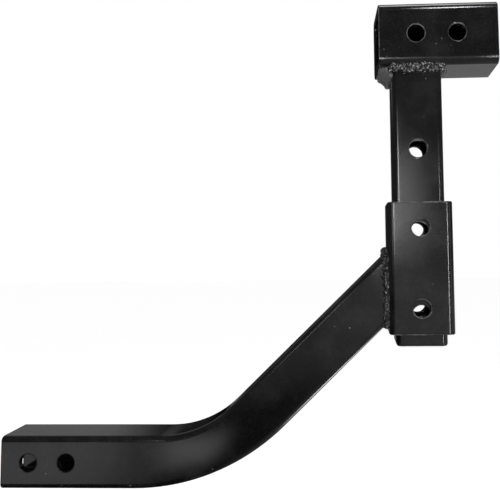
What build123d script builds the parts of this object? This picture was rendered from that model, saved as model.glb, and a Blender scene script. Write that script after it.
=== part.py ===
from build123d import *
import os
from math import radians, tan

os.makedirs("parts", exist_ok=True)

# Receiver hitch adapter. A bent shank of square tube carries an upright sleeve,
# a mast slides in the sleeve, and a receiver tube is welded across the mast's top.
# Millimetres. X runs along the shank towards the sleeve and Z is up. The origin is
# the centre of the shank's main pin hole.

# Small square tube, of the shank and the mast
small_tube = 50.8
small_wall = 6.35
small_corner = 5.0
small_inner_corner = 1.5

# Large square tube, of the sleeve and the receiver, which the small tube slides into
slide_gap = 0.5
large_wall = 6.35
sleeve_corner = 6.0
receiver_corner = 8.0
large_inner_corner = 2.0

# Shank, measured along X from the main pin hole
shank_end = 66.1
shank_pin_spacing = 38.1
bend_distance = 154.8
bend_angle = 43.85
outer_bend_radius = 217.0
inner_bend_radius = 101.0
mast_reach = 354.1

# Sleeve and mast
sleeve_drop = 11.5
sleeve_end_margin = 25.5
station_pitch = 79.4
mast_drop = 12.1
mast_foot_margin = 31.5
mast_pitch = 82.5
mast_holes = 3
mast_head_height = 84.3
mast_foot_radius = 3.0

# Receiver
receiver_pin_spacing = 41.5
receiver_end_margin = 41.2

# How much further in the receiver's left end is sawn at the front than at the back
receiver_skew = 3.5

# Holes and broken edges
pin_hole = 17.5
bolt_hole = 17.5
hole_break = 1.0
end_break = 0.8

# Weld beads round the shank's end, by radius
side_bead = 5.5
top_bead = 5.0
under_bead = 4.5
side_overrun = 3.0
top_overrun = 2.0

# Weld beads round the mast's head: plain ones at the front and back, by radius, and
# fillets at the left and right, by the leg that they cover on both tubes
head_bead = 6.5
head_overrun = 3.0
broad_leg = 12.5
narrow_leg = 6.0
fillet_depth = 8.0

# How far a bead's centre line lies outside the corner that it fills, and its ripples
bead_offset = 1.5
under_offset = 3.0
ripple_pitch = 5.5
ripple_depth = 0.6
nose_length = 3.0

# Sizes that follow from these
small_bore = small_tube - 2 * small_wall
large_bore = small_tube + 2 * slide_gap
large_tube = large_bore + 2 * large_wall
sleeve_face = mast_reach - large_tube / 2
sleeve_length = 2 * sleeve_end_margin + station_pitch


# One long edge of the shank, a given height above its underside: the open end, the
# point where its two straight runs would meet, and the end against the sleeve
def shank_edge(height):
    corner_x = bend_distance - height * tan(radians(bend_angle / 2))
    z = height - small_tube / 2
    joint_z = z + (sleeve_face - corner_x) * tan(radians(bend_angle))
    return (-shank_end, z), (corner_x, z), (sleeve_face, joint_z)


# A solid bar along the shank's route, a given distance inside the tube's outside.
# The two bend radii have different centres, so the section narrows in the bend.
def shank_bar(inset, corner):
    low_end, low_corner, low_joint = shank_edge(inset)
    high_end, high_corner, high_joint = shank_edge(small_tube - inset)
    with BuildPart() as bar:
        with BuildSketch(Plane.XZ):
            with BuildLine():
                FilletPolyline(low_end, low_corner, low_joint, radius=outer_bend_radius - inset)
                Line(low_joint, high_joint)
                FilletPolyline(high_joint, high_corner, high_end, radius=inner_bend_radius + inset)
                Line(high_end, low_end)
            make_face()
        extrude(amount=small_tube / 2 - inset, both=True)
        sides = bar.edges().group_by(Axis.Y)
        fillet(sides[0].sort_by(Axis.X)[1:-1] + sides[-1].sort_by(Axis.X)[1:-1], radius=corner)
    return bar.part


# A straight solid bar with rounded long edges, standing on a plane
def square_bar(plane, size, corner, length):
    with BuildPart() as bar:
        with BuildSketch(plane):
            RectangleRounded(size, size, corner)
        extrude(amount=length)
    return bar.part


# A weld bead along a straight line: a row of ripples turned about the line, with
# tapered ends
def rippled_bead(start, direction, length, radius):
    nose = min(nose_length, radius / 2)
    count = max(1, round((length - 2 * nose) / ripple_pitch))
    step = (length - 2 * nose) / count
    outline = [(0, 0), (0, radius - nose), (nose, radius - ripple_depth)]
    for i in range(count):
        outline.append((nose + (i + 0.5) * step, radius))
        outline.append((nose + (i + 1) * step, radius - ripple_depth))
    outline += [(length, radius - nose), (length, 0)]
    side = Vector(*direction).cross(Vector(1, 1, 1))
    with BuildPart() as bead:
        with BuildSketch(Plane(origin=start, x_dir=direction, z_dir=side)):
            with BuildLine():
                Polyline(*outline, close=True)
            make_face()
        revolve(axis=Axis(start, direction))
    return bead.part


# Heights of the sleeve, the stations and the mast
low_joint_z = shank_edge(0)[2][1]
high_joint_z = shank_edge(small_tube)[2][1]
sleeve_bottom = low_joint_z - sleeve_drop
mast_bottom = sleeve_bottom - mast_drop
stations = [sleeve_bottom + sleeve_end_margin, sleeve_bottom + sleeve_length - sleeve_end_margin]
mast_hole_heights = [mast_bottom + mast_foot_margin + i * mast_pitch for i in range(mast_holes)]
mast_top = mast_hole_heights[-1] + mast_head_height
mast_length = mast_top - mast_bottom
receiver_left = mast_reach - receiver_end_margin
receiver_length = receiver_pin_spacing + 2 * receiver_end_margin
receiver_axis = mast_top + large_tube / 2

# Planes that the upright tubes and the receiver stand on
sleeve_plane = Plane((mast_reach, 0, sleeve_bottom))
mast_plane = Plane((mast_reach, 0, mast_bottom))
receiver_plane = Plane((receiver_left, 0, receiver_axis), x_dir=(0, 1, 0), z_dir=(1, 0, 0))
left_cut = Plane((receiver_left, large_tube / 2, 0), z_dir=(large_tube, receiver_skew, 0))


# The edges of the holes where they break through a tube's front and back faces
def hole_rims(tube, hole):
    circles = tube.edges().filter_by(GeomType.CIRCLE).filter_by(lambda edge: abs(edge.radius - hole / 2) < 0.01)
    levels = circles.group_by(Axis.Y)
    return levels[0] + levels[-1]


# Bent shank
with BuildPart() as bent_shank:
    add(shank_bar(0, small_corner))
    add(shank_bar(small_wall, small_inner_corner), mode=Mode.SUBTRACT)
    with Locations(Plane.XZ.offset(small_tube / 2)):
        with Locations((0, 0), (-shank_pin_spacing, 0)):
            Hole(pin_hole / 2)
    chamfer(bent_shank.faces().sort_by(Axis.X)[0].outer_wire().edges(), end_break)
bent_shank.part.label = "bent_shank"

# Sleeve
with BuildPart() as sleeve:
    with BuildSketch(sleeve_plane):
        RectangleRounded(large_tube, large_tube, sleeve_corner)
        RectangleRounded(large_bore, large_bore, large_inner_corner, mode=Mode.SUBTRACT)
    extrude(amount=sleeve_length)
    with Locations(Plane.XZ.offset(large_tube / 2)):
        with Locations(*[(mast_reach, z) for z in stations]):
            Hole(bolt_hole / 2)
    chamfer(hole_rims(sleeve, bolt_hole), hole_break)
    for end in (sleeve.faces().sort_by(Axis.Z)[0], sleeve.faces().sort_by(Axis.Z)[-1]):
        chamfer(end.outer_wire().edges(), end_break)
sleeve.part.label = "sleeve"

# Mast
with BuildPart() as mast:
    with BuildSketch(mast_plane):
        RectangleRounded(small_tube, small_tube, small_corner)
        RectangleRounded(small_bore, small_bore, small_inner_corner, mode=Mode.SUBTRACT)
    extrude(amount=mast_length)
    with Locations(Plane.XZ.offset(small_tube / 2)):
        with Locations(*[(mast_reach, z) for z in mast_hole_heights]):
            Hole(bolt_hole / 2)
    chamfer(hole_rims(mast, bolt_hole), hole_break)
    fillet(mast.faces().sort_by(Axis.Z)[0].outer_wire().edges(), mast_foot_radius)
mast.part.label = "mast"

# Receiver
with BuildPart() as receiver:
    with BuildSketch(receiver_plane):
        RectangleRounded(large_tube, large_tube, receiver_corner)
        RectangleRounded(large_bore, large_bore, large_inner_corner, mode=Mode.SUBTRACT)
    extrude(amount=receiver_length)
    split(bisect_by=left_cut, keep=Keep.TOP)
    with Locations(Plane.XZ.offset(large_tube / 2)):
        with Locations((mast_reach, receiver_axis), (mast_reach + receiver_pin_spacing, receiver_axis)):
            Hole(pin_hole / 2)
    chamfer(hole_rims(receiver, pin_hole), hole_break)
    for end in (receiver.faces().sort_by(Axis.X)[0], receiver.faces().sort_by(Axis.X)[-1]):
        chamfer(end.outer_wire().edges(), end_break)
receiver.part.label = "receiver"

pieces = [bent_shank, sleeve, mast, receiver]

# Space that each joined tube fills, to trim the beads against. The mast's runs on into
# the receiver's rounded corners, so that no bead reaches over its end.
shank_space = shank_bar(0, small_corner)
sleeve_space = square_bar(sleeve_plane, large_tube, sleeve_corner, sleeve_length)
mast_space = square_bar(mast_plane, small_tube, small_corner, mast_length + receiver_corner)
receiver_space = square_bar(receiver_plane, large_tube, receiver_corner, receiver_length)

# Bead across the top of the shank's end
top_length = small_tube + 2 * top_overrun
with BuildPart() as shank_weld_top:
    start = (sleeve_face - bead_offset, -top_length / 2, high_joint_z + bead_offset)
    add(rippled_bead(start, (0, 1, 0), top_length, top_bead))
    add([shank_space, sleeve_space], mode=Mode.SUBTRACT)
shank_weld_top.part.label = "shank_weld_top"
pieces.append(shank_weld_top)

# Bead in the narrow corner under the shank's end, between the side beads
under_length = small_tube - 2 * max(small_corner, side_bead)
with BuildPart() as shank_weld_under:
    start = (sleeve_face - under_offset, -under_length / 2, low_joint_z)
    add(rippled_bead(start, (0, 1, 0), under_length, under_bead))
    add([shank_space, sleeve_space], mode=Mode.SUBTRACT)
shank_weld_under.part.label = "shank_weld_under"
pieces.append(shank_weld_under)

# Beads up the shank's two sides, on the sleeve's rounded corners, as far as the top bead
side_start = low_joint_z - side_overrun
side_length = high_joint_z + bead_offset - top_bead - side_start
for name, side in (("front", -1), ("back", 1)):
    with BuildPart() as side_weld:
        start = (sleeve_face - bead_offset, side * small_tube / 2, side_start)
        add(rippled_bead(start, (0, 0, 1), side_length, side_bead))
        add([shank_space, sleeve_space], mode=Mode.SUBTRACT)
    side_weld.part.label = "shank_weld_" + name
    pieces.append(side_weld)

# Beads along the front and the back of the mast's head
head_length = small_tube + 2 * head_overrun
for name, side in (("front", -1), ("back", 1)):
    with BuildPart() as head_weld:
        start = (mast_reach - head_length / 2, side * (small_tube / 2 + bead_offset), mast_top)
        add(rippled_bead(start, (1, 0, 0), head_length, head_bead))
        add([mast_space, receiver_space], mode=Mode.SUBTRACT)
    head_weld.part.label = "receiver_weld_" + name
    pieces.append(head_weld)

# Fillets at the left and the right of the mast's head, between those two beads. Each
# one's centre line lies inside the tubes, so that its face is nearly flat.
fillet_length = small_tube - 2 * max(small_corner, head_bead - bead_offset)
for name, side, leg in (("left", -1, broad_leg), ("right", 1, narrow_leg)):
    with BuildPart() as head_weld:
        axis_x = mast_reach + side * (small_tube / 2 - fillet_depth)
        start = (axis_x, -fillet_length / 2, mast_top + fillet_depth)
        radius = ((leg + fillet_depth) ** 2 + fillet_depth ** 2) ** 0.5
        add(rippled_bead(start, (0, 1, 0), fillet_length, radius))
        split(bisect_by=Plane.XY.offset(mast_top), keep=Keep.BOTTOM)
        add(mast_space, mode=Mode.SUBTRACT)
    head_weld.part.label = "receiver_weld_" + name
    pieces.append(head_weld)

for piece in pieces:
    export_step(piece.part, "parts/" + piece.part.label + ".step")
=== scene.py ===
import math
import random

import bpy
from mathutils import Matrix, Vector


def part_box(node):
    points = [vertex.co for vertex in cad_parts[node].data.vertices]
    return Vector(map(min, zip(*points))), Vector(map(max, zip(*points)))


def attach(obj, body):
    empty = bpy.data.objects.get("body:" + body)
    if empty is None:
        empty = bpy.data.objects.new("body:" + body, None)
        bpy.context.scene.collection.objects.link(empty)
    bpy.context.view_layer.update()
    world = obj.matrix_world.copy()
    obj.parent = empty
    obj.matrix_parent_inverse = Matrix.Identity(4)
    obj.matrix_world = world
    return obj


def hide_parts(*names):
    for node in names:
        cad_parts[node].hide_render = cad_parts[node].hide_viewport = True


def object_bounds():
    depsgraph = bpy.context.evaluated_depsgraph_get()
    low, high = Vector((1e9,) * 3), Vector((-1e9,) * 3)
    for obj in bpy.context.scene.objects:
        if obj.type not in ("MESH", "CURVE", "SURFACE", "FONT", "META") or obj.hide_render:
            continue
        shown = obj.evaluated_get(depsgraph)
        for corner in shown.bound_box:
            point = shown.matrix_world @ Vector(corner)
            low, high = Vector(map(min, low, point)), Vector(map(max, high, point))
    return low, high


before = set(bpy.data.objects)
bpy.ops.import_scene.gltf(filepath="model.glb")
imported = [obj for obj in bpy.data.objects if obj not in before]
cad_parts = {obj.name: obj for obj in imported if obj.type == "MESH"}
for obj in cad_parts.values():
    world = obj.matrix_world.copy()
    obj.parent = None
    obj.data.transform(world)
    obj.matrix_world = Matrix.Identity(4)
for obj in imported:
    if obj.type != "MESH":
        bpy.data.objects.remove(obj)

# Receiver hitch adapter: square steel tubes, stick welded, sprayed with black enamel.
# Everything is in metres and stands where the CAD nodes stand.
millimetre = 0.001
cadLow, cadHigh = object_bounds()


def linearColour(hexColour):
    # sRGB, as it is written, to the linear light that the shaders take
    channels = [int(hexColour[i:i + 2], 16) / 255 for i in (1, 3, 5)]
    return [c / 12.92 if c <= 0.04045 else ((c + 0.055) / 1.055) ** 2.4 for c in channels] + [1.0]


def addNode(tree, kind, settings={}, values={}):
    node = tree.nodes.new(kind)
    for name, value in settings.items():
        setattr(node, name, value)
    for socket, value in values.items():
        if isinstance(value, bpy.types.NodeSocket):
            tree.links.new(value, node.inputs[socket])
        else:
            node.inputs[socket].default_value = value
    return node


def newMaterial(name):
    material = bpy.data.materials.new(name)
    material.use_nodes = True
    material.node_tree.nodes.clear()
    return material, material.node_tree


# Black enamel sprayed on mill-finish steel tube: a semi-gloss film that is a little wavy,
# with dust nibs in it, cloudy rub marks and a few chips from handling. The tube's flats roll
# off softly into its corners, which draws a thin line of light beside each one. On the bevels
# of the holes and ends the film is thin and partly worn, and a pale colour is painted there,
# partly worn film and partly a painted highlight, so that they show as faint light rings.
# In these dictionaries, a pair whose name ends in Over is the stretch over which an effect
# sets in: of a noise between 0 and 1, unless its note says otherwise.
enamel = {
    "colour": "#0c0c0d",
    "rubbed": "#232324",
    "dust": "#3a3a3a",
    "chip": "#a4a4a2",
    "edge": "#8e8e8a",        # pale grey on the bevels: partly worn-through film, partly a painted highlight ring
    "ior": 1.5,
    "specular": 0.35,
    "roughness": 0.11,
    "roughnessSpread": 0.04,
    "rollOff": 1.6,           # mm, how far into the flats a corner is felt
    "smudgeSize": 32.0,       # mm, cloudy patches of more and less gloss
    "dullOver": (0.3, 0.7),
    "rubbedOver": (0.45, 0.72),
    "rubbedShare": 0.7,
    "waveSize": 9.0,          # mm, the film's slow waves
    "waveHeight": 0.014,      # mm
    "grainSize": 1.1,         # mm, dust and orange peel, drawn coarse enough to show
    "grainHeight": 0.009,     # mm
    "dustOver": (0.56, 0.78),
    "dustShare": 0.6,
    "chipSpacing": 9.0,       # mm
    "chipShare": 0.05,        # of the spacing that a chip covers
    "chipCore": 0.6,          # of a chip that is bare all through
    "chippedOver": 0.5,       # of the smudges' noise, so that chips come in groups
    "edgeDepth": 1.0,         # mm, of the bevels on holes and ends
    "edgeTolerance": 0.03,    # of the slope by which a bevel is known
    "edgeWorn": 0.5,          # share of a bevel that takes the pale colour: worn film and painted highlight
    "edgeLeast": 0.2,         # of that share, where a bevel takes the least of it
    "edgeOver": (0.38, 0.55),
}

# Bending has crowned the shank's two sides a little, between the bend and its far end
crown = {
    "angle": 43.85,           # degrees, of the raised run
    "meetingPoint": 144.58,   # mm along X, where the two runs' middle lines meet
    "halfTube": 25.4,         # mm
    "height": 0.45,           # mm
    "blend": 60.0,            # mm, over which one run passes into the other
    "riseOver": (70.0, 170.0),    # mm along X
    "fadeOver": (225.0, 285.0),   # mm along X, and at the sleeve the sides are flat again
}


def crownOf(tree, place):
    # The sides fall away with the square of the distance from the tube's middle line
    parts = addNode(tree, "ShaderNodeSeparateXYZ", {}, {0: place})
    angle = math.radians(crown["angle"])
    shifted = addNode(tree, "ShaderNodeMath", {"operation": "SUBTRACT"}, {
        0: parts.outputs["X"], 1: crown["meetingPoint"] * millimetre})
    along = addNode(tree, "ShaderNodeMath", {"operation": "MULTIPLY"}, {
        0: shifted.outputs["Value"], 1: -math.sin(angle)})
    raised = addNode(tree, "ShaderNodeMath", {"operation": "MULTIPLY_ADD"}, {
        0: parts.outputs["Z"], 1: math.cos(angle), 2: along.outputs["Value"]})
    offMiddle = addNode(tree, "ShaderNodeMath", {"operation": "SMOOTH_MIN"}, {
        0: parts.outputs["Z"], 1: raised.outputs["Value"], 2: crown["blend"] * millimetre})
    share = addNode(tree, "ShaderNodeMath", {"operation": "DIVIDE"}, {
        0: offMiddle.outputs["Value"], 1: crown["halfTube"] * millimetre})
    distance = addNode(tree, "ShaderNodeMath", {"operation": "ABSOLUTE"}, {0: share.outputs["Value"]})
    square = addNode(tree, "ShaderNodeMath", {"operation": "POWER"}, {
        0: distance.outputs["Value"], 1: 2.0})
    reach = addNode(tree, "ShaderNodeMapRange", {"interpolation_type": "SMOOTHSTEP"}, {
        "Value": parts.outputs["X"], "From Min": crown["riseOver"][0] * millimetre,
        "From Max": crown["riseOver"][1] * millimetre, "To Min": 0.0, "To Max": -1.0})
    fade = addNode(tree, "ShaderNodeMapRange", {"interpolation_type": "SMOOTHSTEP"}, {
        "Value": parts.outputs["X"], "From Min": crown["fadeOver"][0] * millimetre,
        "From Max": crown["fadeOver"][1] * millimetre, "To Min": 1.0, "To Max": 0.0})
    both = addNode(tree, "ShaderNodeMath", {"operation": "MULTIPLY"}, {
        0: reach.outputs["Result"], 1: fade.outputs["Result"]})
    height = addNode(tree, "ShaderNodeMath", {"operation": "MULTIPLY"}, {
        0: square.outputs["Value"], 1: both.outputs["Value"]})
    return height.outputs["Value"]


def chipsOf(tree, place, smudge):
    chip = addNode(tree, "ShaderNodeTexVoronoi", {"feature": "F1"}, {
        "Vector": place, "Scale": 1.0 / (enamel["chipSpacing"] * millimetre), "Randomness": 1.0})
    spot = addNode(tree, "ShaderNodeMapRange", {}, {
        "Value": chip.outputs["Distance"], "From Min": enamel["chipShare"],
        "From Max": enamel["chipShare"] * enamel["chipCore"], "To Min": 0.0, "To Max": 1.0})
    chipped = addNode(tree, "ShaderNodeMath", {"operation": "GREATER_THAN"}, {
        0: smudge.outputs["Fac"], 1: enamel["chippedOver"]})
    chips = addNode(tree, "ShaderNodeMath", {"operation": "MULTIPLY"}, {
        0: spot.outputs["Result"], 1: chipped.outputs["Value"]})
    return chips.outputs["Value"]


def edgeWearAndHighlightOf(tree, place, wave, outerFace):
    # A bevel slants by 45 degrees. Where a tube's rounded corner does, it already lies deeper.
    facing = addNode(tree, "ShaderNodeSeparateXYZ", {}, {
        0: addNode(tree, "ShaderNodeNewGeometry").outputs["True Normal"]})
    slant = addNode(tree, "ShaderNodeMath", {"operation": "ABSOLUTE"}, {0: facing.outputs["Y"]})
    bevelled = addNode(tree, "ShaderNodeMath", {"operation": "COMPARE"}, {
        0: slant.outputs["Value"], 1: math.sqrt(0.5), 2: enamel["edgeTolerance"]})
    spot = addNode(tree, "ShaderNodeSeparateXYZ", {}, {0: place})
    offMiddle = addNode(tree, "ShaderNodeMath", {"operation": "ABSOLUTE"}, {0: spot.outputs["Y"]})
    outside = addNode(tree, "ShaderNodeMath", {"operation": "GREATER_THAN"}, {
        0: offMiddle.outputs["Value"], 1: outerFace - enamel["edgeDepth"] * millimetre})
    edge = addNode(tree, "ShaderNodeMath", {"operation": "MULTIPLY"}, {
        0: bevelled.outputs["Value"], 1: outside.outputs["Value"]})
    patchy = addNode(tree, "ShaderNodeMapRange", {}, {
        "Value": wave.outputs["Fac"], "From Min": enamel["edgeOver"][0], "From Max": enamel["edgeOver"][1],
        "To Min": enamel["edgeWorn"] * enamel["edgeLeast"], "To Max": enamel["edgeWorn"]})
    # The pale bevel colour: partly worn film, partly a painted highlight ring
    paintedHighlightShare = addNode(tree, "ShaderNodeMath", {"operation": "MULTIPLY"}, {
        0: edge.outputs["Value"], 1: patchy.outputs["Result"]})
    return paintedHighlightShare.outputs["Value"]


def paintTubes(name, crowned, outerFace):
    material, tree = newMaterial(name)
    place = addNode(tree, "ShaderNodeTexCoord").outputs["Object"]
    smudge = addNode(tree, "ShaderNodeTexNoise", {}, {
        "Vector": place, "Scale": 1.0 / (enamel["smudgeSize"] * millimetre),
        "Detail": 6.0, "Roughness": 0.65})
    wave = addNode(tree, "ShaderNodeTexNoise", {}, {
        "Vector": place, "Scale": 1.0 / (enamel["waveSize"] * millimetre), "Detail": 2.0})
    grain = addNode(tree, "ShaderNodeTexNoise", {}, {
        "Vector": place, "Scale": 1.0 / (enamel["grainSize"] * millimetre),
        "Detail": 3.0, "Roughness": 0.7})

    # The film's colour, then what lies on it or is gone from it, and the pale bevels, partly a painted
    # highlight
    rub = addNode(tree, "ShaderNodeMapRange", {}, {
        "Value": smudge.outputs["Fac"], "From Min": enamel["rubbedOver"][0],
        "From Max": enamel["rubbedOver"][1], "To Min": 0.0, "To Max": enamel["rubbedShare"]})
    dust = addNode(tree, "ShaderNodeMapRange", {}, {
        "Value": grain.outputs["Fac"], "From Min": enamel["dustOver"][0],
        "From Max": enamel["dustOver"][1], "To Min": 0.0, "To Max": enamel["dustShare"]})
    colour = addNode(tree, "ShaderNodeMix", {"data_type": "RGBA"}, {
        0: rub.outputs["Result"], 6: linearColour(enamel["colour"]), 7: linearColour(enamel["rubbed"])})
    for share, over in (
            (dust.outputs["Result"], "dust"),
            (chipsOf(tree, place, smudge), "chip"),
            (edgeWearAndHighlightOf(tree, place, wave, outerFace), "edge")):
        colour = addNode(tree, "ShaderNodeMix", {"data_type": "RGBA"}, {
            0: share, 6: colour.outputs[2], 7: linearColour(enamel[over])})
    gloss = addNode(tree, "ShaderNodeMapRange", {}, {
        "Value": smudge.outputs["Fac"], "From Min": enamel["dullOver"][0],
        "From Max": enamel["dullOver"][1],
        "To Min": enamel["roughness"] - enamel["roughnessSpread"] / 2,
        "To Max": enamel["roughness"] + enamel["roughnessSpread"] / 2})

    # The surface, from the rolled-off corners down to the dust
    side = addNode(tree, "ShaderNodeBevel", {"samples": 6}, {"Radius": enamel["rollOff"] * millimetre})
    if crowned:
        side = addNode(tree, "ShaderNodeBump", {}, {
            "Height": crownOf(tree, place), "Strength": 1.0, "Distance": crown["height"] * millimetre,
            "Normal": side.outputs["Normal"]})
    slow = addNode(tree, "ShaderNodeBump", {}, {
        "Height": wave.outputs["Fac"], "Strength": 1.0, "Distance": enamel["waveHeight"] * millimetre,
        "Normal": side.outputs["Normal"]})
    fine = addNode(tree, "ShaderNodeBump", {}, {
        "Height": grain.outputs["Fac"], "Strength": 1.0, "Distance": enamel["grainHeight"] * millimetre,
        "Normal": slow.outputs["Normal"]})
    shader = addNode(tree, "ShaderNodeBsdfPrincipled", {}, {
        "Base Color": colour.outputs[2], "Roughness": gloss.outputs["Result"], "IOR": enamel["ior"],
        "Specular IOR Level": enamel["specular"], "Normal": fine.outputs["Normal"]})
    addNode(tree, "ShaderNodeOutputMaterial", {}, {"Surface": shader.outputs["BSDF"]})
    return material


# The same enamel over a stick weld: it pools in the hollows and shines on the crests. Its thin
# ridges are painted light grey, a painted highlight in place of glints, so that a rough bead glitters
weldFilm = {
    "crest": "#cfcfcf",       # painted highlight on the thin ridges, standing in for glints
    "ior": 1.5,
    "specular": 0.9,
    "grainSize": 1.6,         # mm, the ripple's own small beads
    "ridgeSize": 5.0,         # mm, across the loops that the ridges make
    "ridgeHeight": 0.3,       # mm
    "ridgeOver": (0.04, 0.012),   # off the loops' middle line, from a ridge's foot to its top
    "wornOver": (0.44, 0.58),
}

weldFinishes = {
    # The shank's beads, the head's beads with more of their ridges painted light, and a lighter copy, painted
    # light, on the head's left fillet
    "enamelOverWeld": {"low": "#101011", "roughness": 0.09, "grainHeight": 0.8, "wornShare": 0.22},
    "wornEnamelOverWeld": {"low": "#101011", "roughness": 0.09, "grainHeight": 0.8, "wornShare": 0.9},
    # A lighter copy of the weld enamel, painted light on the head's left fillet where the lamps leave it dark
    "dryEnamelOverWeld": {"low": "#5c5c5d", "roughness": 0.4, "grainHeight": 0.4, "wornShare": 0.2},
}


def paintWelds(name, low, roughness, grainHeight, wornShare):
    material, tree = newMaterial(name)
    place = addNode(tree, "ShaderNodeTexCoord").outputs["Object"]
    grain = addNode(tree, "ShaderNodeTexNoise", {}, {
        "Vector": place, "Scale": 1.0 / (millimetre * weldFilm["grainSize"]),
        "Detail": 2.0, "Roughness": 0.5})

    # Ridges follow the lines where a slow noise passes its middle value
    loops = addNode(tree, "ShaderNodeTexNoise", {}, {
        "Vector": place, "Scale": 1.0 / (millimetre * weldFilm["ridgeSize"]),
        "Detail": 1.5, "Distortion": 1.2})
    offMiddle = addNode(tree, "ShaderNodeMath", {"operation": "SUBTRACT"}, {0: loops.outputs["Fac"], 1: 0.5})
    away = addNode(tree, "ShaderNodeMath", {"operation": "ABSOLUTE"}, {0: offMiddle.outputs["Value"]})
    ridge = addNode(tree, "ShaderNodeMapRange", {"interpolation_type": "SMOOTHSTEP"}, {
        "Value": away.outputs["Value"], "From Min": weldFilm["ridgeOver"][0],
        "From Max": weldFilm["ridgeOver"][1], "To Min": 0.0, "To Max": 1.0})
    # Ridges painted light grey in patches: a painted highlight standing in for the bead's glints
    paintedHighlightShare = addNode(tree, "ShaderNodeMapRange", {}, {
        "Value": grain.outputs["Fac"], "From Min": weldFilm["wornOver"][0],
        "From Max": weldFilm["wornOver"][1], "To Min": 0.0, "To Max": wornShare})
    paintedGlintMask = addNode(tree, "ShaderNodeMath", {"operation": "MULTIPLY"}, {
        0: ridge.outputs["Result"], 1: paintedHighlightShare.outputs["Result"]})
    colour = addNode(tree, "ShaderNodeMix", {"data_type": "RGBA"}, {
        0: paintedGlintMask.outputs["Value"], 6: linearColour(low), 7: linearColour(weldFilm["crest"])})

    raised = addNode(tree, "ShaderNodeBump", {}, {
        "Height": ridge.outputs["Result"], "Strength": 1.0,
        "Distance": weldFilm["ridgeHeight"] * millimetre})
    bump = addNode(tree, "ShaderNodeBump", {}, {
        "Height": grain.outputs["Fac"], "Strength": 1.0, "Distance": grainHeight * millimetre,
        "Normal": raised.outputs["Normal"]})
    shader = addNode(tree, "ShaderNodeBsdfPrincipled", {}, {
        "Base Color": colour.outputs[2], "Roughness": roughness, "IOR": weldFilm["ior"],
        "Specular IOR Level": weldFilm["specular"], "Normal": bump.outputs["Normal"]})
    addNode(tree, "ShaderNodeOutputMaterial", {}, {"Surface": shader.outputs["BSDF"]})
    return material


# Each tube has its own enamel, because its bevels are found from its own outer face
tubes = [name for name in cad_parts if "weld" not in name]
tubeEnamels = {}
for name in tubes:
    finish = "satinBlackEnamel" + name.title().replace("_", "")
    tubeEnamels[name] = paintTubes(finish, name == "bent_shank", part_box(name)[1].y)
weldEnamels = {name: paintWelds(name, **finish) for name, finish in weldFinishes.items()}
for name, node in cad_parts.items():
    node.data.materials.clear()
    node.data.materials.append(tubeEnamels[name] if name in tubes else weldEnamels["enamelOverWeld"])
print("tubes painted", len(tubes))


# Weld beads. Each run is a row of overlapping ripples, modelled once and copied along the
# seam, then fused and roughened.
welds = {
    "ripplePitch": 3.4,       # mm
    "rippleLength": 0.72,     # half length of a ripple, in pitches
    "jitter": 0.6,            # mm, along the seam
    "weave": 1.1,             # mm, side to side
    "leastWeave": 0.2,        # of that
    "uneven": 0.2,            # share by which a ripple's radius differs
    "endSize": 0.86,          # of a run's first and last ripple
    "tilt": 0.5,              # radians
    "stretch": (0.8, 1.25),   # of a ripple along the seam
    "voxel": 0.42,            # mm
    "roughSize": 2.4,         # mm, lumps of spatter and slag marks
    "grainSize": 1.2,         # mm
    "grainShare": 0.4,        # of the lumps' height
    "footOverrun": 2.0,       # mm, by which the shank's side beads start below its side
    "cornerOverrun": 4.0,     # mm, by which a cross bead runs on round the tube's corners
}

# A row is (across, out, radius, and what is left free at the start and the end), in mm from
# the seam's line. Height is of the lumps, in mm. The seed settles a bead's unevenness.
beads = {
    "shankSide": {"seed": 11, "height": 1.5, "rows": [
        (-1.8, -0.4, 4.6, 0, 0), (1.4, -1.0, 3.8, 1, 1)]},
    "shankTop": {"seed": 51, "height": 0.9, "rows": [(-1.3, 3.0, 3.7, 0, 0)]},
    "shankUnder": {"seed": 61, "height": 0.8, "rows": [(-3.4, -2.2, 4.4, 0, 0)]},
    "headSide": {"seed": 31, "height": 1.9, "rows": [
        (-3.0, 0.2, 3.6, 0, 2), (1.0, 1.4, 4.0, 1, 0), (4.6, 0.4, 3.6, 0, 2)]},
    "headLeft": {"seed": 71, "height": 0.3, "rows": [
        (3.2, 3.2, 5.4, 1, 1), (8.6, 1.4, 4.0, 1, 1), (1.4, 8.6, 4.0, 1, 1), (5.4, 5.4, 3.4, 2, 2)]},
    "headRight": {"seed": 81, "height": 0.8, "rows": [(1.2, 1.2, 4.4, 0, 0)]},
}


def oneRipple():
    bpy.ops.object.select_all(action="DESELECT")
    bpy.ops.mesh.primitive_uv_sphere_add(segments=20, ring_count=12, radius=millimetre)
    ripple = bpy.context.object
    bpy.ops.object.mode_set(mode="EDIT")
    bpy.ops.mesh.select_all(action="SELECT")
    bpy.ops.transform.resize(value=(1.0, 1.0, welds["ripplePitch"] * welds["rippleLength"]))
    bpy.ops.object.mode_set(mode="OBJECT")
    return ripple


def roughen(weld, size, height):
    lumps = bpy.data.textures.new(weld.name + "Lumps", "CLOUDS")
    lumps.noise_scale = size * millimetre
    lumps.noise_depth = 1
    rough = weld.modifiers.new("rough", "DISPLACE")
    rough.texture = lumps
    rough.texture_coords = "LOCAL"
    rough.strength = height * millimetre
    rough.mid_level = 0.5
    bpy.ops.object.modifier_apply(modifier="rough")


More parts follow.
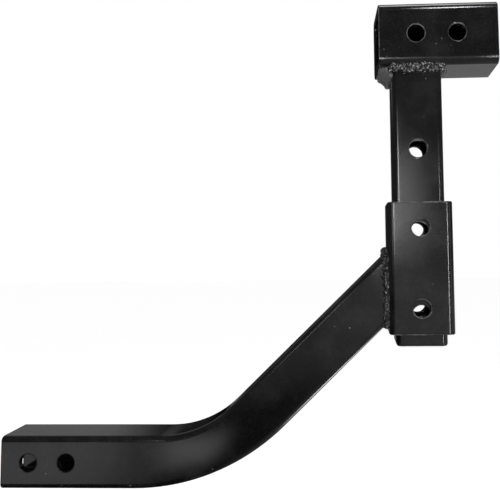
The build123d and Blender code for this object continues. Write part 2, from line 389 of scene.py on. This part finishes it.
def layWeld(name, kind, start, end, acrossWay, outWay, side=0):
    chance = random.Random(beads[kind]["seed"] + side)
    source = oneRipple()
    along = (end - start).normalized()
    length = (end - start).length / millimetre
    turn = Matrix((acrossWay, outWay, along)).transposed()
    copies = []
    for across, out, radius, begin, finish in beads[kind]["rows"]:
        room = length - begin - finish
        count = max(2, round(room / welds["ripplePitch"]))
        for i in range(count):
            spot = begin + (i + 0.5) * room / count + chance.uniform(-welds["jitter"], welds["jitter"])
            size = radius * (1 + chance.uniform(-1, 1) * welds["uneven"])
            if i in (0, count - 1):
                size *= welds["endSize"]
            sway = welds["weave"] * (1 if i % 2 else -1) * chance.uniform(welds["leastWeave"], 1)
            place = start + along * spot * millimetre
            place += acrossWay * (across + sway) * millimetre + outWay * out * millimetre
            ripple = source.copy()
            ripple.data = source.data.copy()
            bpy.context.collection.objects.link(ripple)
            tilt = Matrix.Rotation(chance.uniform(-welds["tilt"], welds["tilt"]), 3, "X")
            tilt = tilt @ Matrix.Rotation(chance.uniform(-welds["tilt"], welds["tilt"]), 3, "Y")
            shape = turn @ tilt @ Matrix.Diagonal((size, size, chance.uniform(*welds["stretch"])))
            ripple.data.transform(Matrix.Translation(place) @ shape.to_4x4())
            copies.append(ripple)
    bpy.data.objects.remove(source)
    bpy.ops.object.select_all(action="DESELECT")
    for ripple in copies:
        ripple.select_set(True)
    bpy.context.view_layer.objects.active = copies[0]
    bpy.ops.object.join()
    weld = bpy.context.object
    weld.name = name
    fuse = weld.modifiers.new("fuse", "REMESH")
    fuse.mode = "VOXEL"
    fuse.voxel_size = welds["voxel"] * millimetre
    bpy.ops.object.modifier_apply(modifier="fuse")
    roughen(weld, welds["roughSize"], beads[kind]["height"])
    roughen(weld, welds["grainSize"], beads[kind]["height"] * welds["grainShare"])
    bpy.ops.object.shade_smooth()
    weld.data.materials.clear()
    return weld


def crossSeam(node, atX, atZ):
    # A seam along Y, a little longer than its node
    low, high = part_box(node)
    overrun = welds["cornerOverrun"] * millimetre
    return Vector((atX, low.y - overrun, atZ)), Vector((atX, high.y + overrun, atZ))


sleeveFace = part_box("sleeve")[0].x
mastLow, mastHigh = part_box("mast")
halfTube = (mastHigh.x - mastLow.x) / 2
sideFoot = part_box("shank_weld_front")[0].z
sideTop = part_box("shank_weld_top")[0].z
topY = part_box("shank_weld_top")[1].y
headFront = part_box("receiver_weld_front")
x, y, z = Vector((1, 0, 0)), Vector((0, 1, 0)), Vector((0, 0, 1))
footOverrun = welds["footOverrun"] * millimetre
pieces = []
for side, name in ((-1, "front"), (1, "back")):
    # Up the shank's two sides, in the groove beside the sleeve's rounded corner
    pieces.append(("shank_weld_" + name, layWeld(
        "shankBead" + name.title(), "shankSide",
        Vector((sleeveFace, side * halfTube, sideFoot - footOverrun)),
        Vector((sleeveFace, side * halfTube, sideTop)), x, y * side, side)))
    # Along the mast's head, on the receiver's rounded corner
    pieces.append(("receiver_weld_" + name, layWeld(
        "headBead" + name.title(), "headSide",
        Vector((headFront[0].x, side * halfTube, mastHigh.z)),
        Vector((headFront[1].x, side * halfTube, mastHigh.z)), z, y * side, side)))
pieces.append(("shank_weld_top", layWeld(
    "shankBeadTop", "shankTop",
    Vector((sleeveFace, -topY, sideTop)), Vector((sleeveFace, topY, sideTop)), x, z)))
underSeam = crossSeam("shank_weld_under", sleeveFace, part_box("shank_weld_under")[1].z)
pieces.append(("shank_weld_under", layWeld("shankBeadUnder", "shankUnder", *underSeam, x, z)))
leftSeam = crossSeam("receiver_weld_left", mastLow.x, mastHigh.z)
pieces.append(("receiver_weld_left", layWeld("headFilletLeft", "headLeft", *leftSeam, -x, -z)))
rightSeam = crossSeam("receiver_weld_right", mastHigh.x, mastHigh.z)
pieces.append(("receiver_weld_right", layWeld("headFilletRight", "headRight", *rightSeam, x, -z)))

for node, weld in pieces:
    # The head's beads take the copy with more painted highlight on their ridges
    finish = "enamelOverWeld" if node.startswith("shank") else "wornEnamelOverWeld"
    # The head's left fillet takes the lighter copy, painted light
    if node == "receiver_weld_left":
        finish = "dryEnamelOverWeld"
    weld.data.materials.append(weldEnamels[finish])
    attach(weld, "frame" if node.startswith("shank") else "mast_head")
    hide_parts(node)
print("welds laid", sum(len(weld.data.polygons) for node, weld in pieces))


# The adapter stays clear of a pale floor, in a dim room. The camera sees the floor and the
# room white. The enamel sees them dark, apart from the sheen, the patch and the sweep here.
studio = {
    "floorColour": "#efefee",
    "floorSize": 24.0,        # m
    "floorDrop": 0.35,        # m, from the lowest point of the shank
    "floorWhite": 0.85,       # what the camera sees of the floor's own white
    "floorInGloss": 0.47,     # what the enamel sees of it, on the right
    "sheenOver": (0.0, 0.45),     # m along X
    "patchMiddle": 1.4,       # m along Y, of a brighter patch that shows in the tubes' backs
    "patchOver": (1.2, 0.5),  # m from its middle, from none to full
    "patchShare": 2.0,        # of the floor's sheen
    "room": 0.18,             # strength of the dim room that the gloss sees
    "levelShade": 0.9,        # how much darker the room is behind, at eye level
    "sweepShare": 0.25,       # share of the white sweep that the gloss sees, behind on the left
    "sweepOver": (0.17, 0.235),   # slope above or below eye level
    "behindOver": (0.2, 0.8),     # way along Y
    "leftOver": (-0.26, -0.37),   # way along X
    "softEdge": 0.4,          # share of a lamp's width over which it fades at each edge
}


def makeFloor():
    bpy.ops.object.select_all(action="DESELECT")
    bpy.ops.mesh.primitive_plane_add(
        size=studio["floorSize"], location=(0, 0, cadLow.z - studio["floorDrop"]))
    floor = bpy.context.object
    floor.name = "studioFloor"
    bpy.ops.object.transform_apply(location=True, rotation=True, scale=True)
    material, tree = newMaterial("paleFloor")
    paper = addNode(tree, "ShaderNodeBsdfPrincipled", {}, {
        "Base Color": linearColour(studio["floorColour"]), "Roughness": 0.9, "Specular IOR Level": 0.1})
    ray = addNode(tree, "ShaderNodeLightPath")
    seen = addNode(tree, "ShaderNodeMath", {"operation": "MULTIPLY"}, {
        0: ray.outputs["Is Camera Ray"], 1: studio["floorWhite"]})
    place = addNode(tree, "ShaderNodeTexCoord").outputs["Object"]
    parts = addNode(tree, "ShaderNodeSeparateXYZ", {}, {0: place})
    sheen = addNode(tree, "ShaderNodeMapRange", {"interpolation_type": "SMOOTHSTEP"}, {
        "Value": parts.outputs["X"], "From Min": studio["sheenOver"][0],
        "From Max": studio["sheenOver"][1], "To Min": 0.0, "To Max": 1.0})
    away = addNode(tree, "ShaderNodeMath", {"operation": "SUBTRACT"}, {
        0: parts.outputs["Y"], 1: studio["patchMiddle"]})
    offPatch = addNode(tree, "ShaderNodeMath", {"operation": "ABSOLUTE"}, {0: away.outputs["Value"]})
    patch = addNode(tree, "ShaderNodeMapRange", {"interpolation_type": "SMOOTHSTEP"}, {
        "Value": offPatch.outputs["Value"], "From Min": studio["patchOver"][0],
        "From Max": studio["patchOver"][1], "To Min": 0.0, "To Max": studio["patchShare"]})
    bright = addNode(tree, "ShaderNodeMath", {"operation": "MAXIMUM"}, {
        0: sheen.outputs["Result"], 1: patch.outputs["Result"]})
    glossy = addNode(tree, "ShaderNodeMath", {"operation": "MULTIPLY"}, {
        0: ray.outputs["Is Glossy Ray"], 1: studio["floorInGloss"]})
    lift = addNode(tree, "ShaderNodeMath", {"operation": "MULTIPLY_ADD"}, {
        0: glossy.outputs["Value"], 1: bright.outputs["Value"], 2: seen.outputs["Value"]})
    glow = addNode(tree, "ShaderNodeEmission", {}, {
        "Color": (1, 1, 1, 1), "Strength": lift.outputs["Value"]})
    flagged = addNode(tree, "ShaderNodeMixShader", {}, {
        0: ray.outputs["Is Glossy Ray"], 1: paper.outputs["BSDF"]})
    both = addNode(tree, "ShaderNodeAddShader", {}, {
        0: flagged.outputs["Shader"], 1: glow.outputs["Emission"]})
    addNode(tree, "ShaderNodeOutputMaterial", {}, {"Surface": both.outputs["Shader"]})
    floor.data.materials.append(material)


def makeWorld():
    world = bpy.data.worlds.new("studioWorld")
    bpy.context.scene.world = world
    world.use_nodes = True
    tree = world.node_tree
    tree.nodes.clear()
    way = addNode(tree, "ShaderNodeTexCoord").outputs["Generated"]
    parts = addNode(tree, "ShaderNodeSeparateXYZ", {}, {0: way})
    slope = addNode(tree, "ShaderNodeMath", {"operation": "ABSOLUTE"}, {0: parts.outputs["Z"]})
    offLevel, behind, toLeft = [
        addNode(tree, "ShaderNodeMapRange", {"interpolation_type": "SMOOTHSTEP"}, {
            "Value": value, "From Min": studio[over][0], "From Max": studio[over][1],
            "To Min": 0.0, "To Max": 1.0}).outputs["Result"]
        for value, over in (
            (slope.outputs["Value"], "sweepOver"),
            (parts.outputs["Y"], "behindOver"),
            (parts.outputs["X"], "leftOver"))]

    # A white sweep behind on the left, clear of eye level, and a shade behind elsewhere
    leftBehind = addNode(tree, "ShaderNodeMath", {"operation": "MULTIPLY"}, {0: behind, 1: toLeft})
    sweep = addNode(tree, "ShaderNodeMath", {"operation": "MULTIPLY"}, {
        0: offLevel, 1: leftBehind.outputs["Value"]})
    shade = addNode(tree, "ShaderNodeMath", {"operation": "SUBTRACT"}, {0: behind, 1: sweep.outputs["Value"]})
    dim = addNode(tree, "ShaderNodeMath", {"operation": "MULTIPLY_ADD"}, {
        0: shade.outputs["Value"], 1: -studio["levelShade"] * studio["room"], 2: studio["room"]})

    # Camera and transmission rays see plain white, glossy rays a share of the sweep
    ray = addNode(tree, "ShaderNodeLightPath")
    glossySweep = addNode(tree, "ShaderNodeMath", {"operation": "MULTIPLY"}, {
        0: ray.outputs["Is Glossy Ray"], 1: sweep.outputs["Value"]})
    clear = addNode(tree, "ShaderNodeMath", {"operation": "ADD"}, {
        0: ray.outputs["Is Camera Ray"], 1: ray.outputs["Is Transmission Ray"]})
    share = addNode(tree, "ShaderNodeMath", {"operation": "MULTIPLY_ADD", "use_clamp": True}, {
        0: glossySweep.outputs["Value"], 1: studio["sweepShare"], 2: clear.outputs["Value"]})
    room = addNode(tree, "ShaderNodeBackground", {}, {
        "Color": (1, 1, 1, 1), "Strength": dim.outputs["Value"]})
    white = addNode(tree, "ShaderNodeBackground", {}, {"Color": (1, 1, 1, 1), "Strength": 1.0})
    mixed = addNode(tree, "ShaderNodeMixShader", {}, {
        0: share.outputs["Value"], 1: room.outputs["Background"], 2: white.outputs["Background"]})
    addNode(tree, "ShaderNodeOutputWorld", {}, {"Surface": mixed.outputs["Shader"]})


# Each lamp is (place, what it points at, width, height, brightness, roll, spread), in m and
# degrees. They stand where the tubes' glossy sides mirror them towards the camera.
lamps = {
    # The bright lines beside the upright tubes' corners, with a glow next to the left one,
    # and a paler side on the right
    "leftStrip": ((0.322, -1.43, 0.40), (0.33, 0, 0.25), 0.055, 0.52, 92.0, 0, 180),
    "leftCard": ((0.41, -1.43, 0.35), (0.33, 0, 0.25), 0.26, 0.46, 2.9, 0, 180),
    "rightStrip": ((0.78, -1.43, 0.16), (0.38, 0, 0.20), 0.06, 0.90, 90.0, 0, 180),
    "rightBox": ((1.75, -0.85, 0.22), (0.36, 0, 0.25), 0.55, 0.85, 1.5, 0, 180),
    # A faint sheen on the fronts, brighter on the shank's straight run and round its bend
    "frontCard": ((0.36, -1.60, 0.06), (0.34, 0, 0.15), 0.95, 0.80, 0.30, 0, 180),
    "lowFrontCard": ((0.02, -1.43, -0.08), (0.20, 0, 0.05), 0.70, 0.44, 0.35, 0, 180),
    "lowLeftCard": ((-0.47, -0.93, -0.29), (0.0, 0, 0.0), 0.70, 0.34, 1.35, 0, 180),
    "bendCard": ((-0.11, -0.93, -0.25), (0.12, 0, 0.02), 0.22, 0.16, 2.1, 0, 180),
    # The lines along the raised run's upper and lower corners
    "diagonalStrip": ((-0.20, -1.43, 0.32), (0.27, 0, 0.15), 0.55, 0.11, 15.0, 44, 180),
    "lowRightStrip": ((0.49, 0.0, -0.25), (0.26, 0, 0.08), 0.40, 0.14, 1.8, 44, 50),
    # The tops and the weld beads
    "overhead": ((0.45, 0.0, 1.45), (0.36, 0, 0.20), 0.70, 0.70, 8.0, 0, 180),
    "highFront": ((0.55, -1.00, 1.15), (0.36, 0, 0.35), 0.22, 0.22, 75.0, 0, 180),
}


def softenEdges(lamp):
    # Parametric X and Y run from 0 to 1 across a lamp
    lamp.use_nodes = True
    tree = lamp.node_tree
    tree.nodes.clear()
    across = addNode(tree, "ShaderNodeNewGeometry").outputs["Parametric"]
    spot = addNode(tree, "ShaderNodeSeparateXYZ", {}, {0: across})
    strength = 1.0
    for way in ("X", "Y"):
        offMiddle = addNode(tree, "ShaderNodeMath", {"operation": "SUBTRACT"}, {0: spot.outputs[way], 1: 0.5})
        far = addNode(tree, "ShaderNodeMath", {"operation": "ABSOLUTE"}, {0: offMiddle.outputs["Value"]})
        fade = addNode(tree, "ShaderNodeMapRange", {"interpolation_type": "SMOOTHSTEP"}, {
            "Value": far.outputs["Value"], "From Min": 0.5, "From Max": 0.5 - studio["softEdge"],
            "To Min": 0.0, "To Max": strength})
        strength = fade.outputs["Result"]
    glow = addNode(tree, "ShaderNodeEmission", {}, {"Color": (1, 1, 1, 1), "Strength": strength})
    addNode(tree, "ShaderNodeOutputLight", {}, {"Surface": glow.outputs["Emission"]})


def addLamp(name, place, target, width, height, brightness, roll, spread):
    lamp = bpy.data.lights.new(name, "AREA")
    softenEdges(lamp)
    lamp.shape = "RECTANGLE"
    lamp.size, lamp.size_y = width, height
    lamp.energy = brightness * math.pi * width * height
    lamp.spread = math.radians(spread)
    holder = bpy.data.objects.new(name, lamp)
    holder.location = place
    facing = (Vector(target) - Vector(place)).to_track_quat("-Z", "Y").to_matrix()
    holder.rotation_euler = (facing @ Matrix.Rotation(math.radians(roll), 3, "Z")).to_euler()
    holder.visible_camera = False
    bpy.context.collection.objects.link(holder)


makeFloor()
makeWorld()
for name, lamp in lamps.items():
    addLamp(name, *lamp)
print("studio lit", len(lamps))

# The camera at the photograph's viewing angle. The lens is in pixels of the photograph.
view = {
    "imageWidth": 500,
    "imageHeight": 490,
    "focalPixels": 645.9,
    "axisAcross": 332.83,     # where the lens's axis meets the picture
    "axisDown": 198.48,
    "sensorWidth": 36.0,      # mm
    "place": (0.29457, -0.67134, 0.20757),
    "turn": (94.5231, 0.6776, 2.4280),    # degrees
}
cameraData = bpy.data.cameras.new("photoCamera")
cameraData.sensor_width = view["sensorWidth"]
cameraData.lens = view["sensorWidth"] * view["focalPixels"] / view["imageWidth"]
cameraData.shift_x = (view["imageWidth"] / 2 - view["axisAcross"]) / view["imageWidth"]
cameraData.shift_y = (view["axisDown"] - view["imageHeight"] / 2) / view["imageWidth"]
cameraData.clip_start, cameraData.clip_end = 0.01, 60.0
camera = bpy.data.objects.new("photoCamera", cameraData)
camera.location = view["place"]
camera.rotation_euler = [math.radians(angle) for angle in view["turn"]]
bpy.context.collection.objects.link(camera)
bpy.context.scene.camera = camera
bpy.context.scene.view_settings.view_transform = "Standard"
print("camera set")
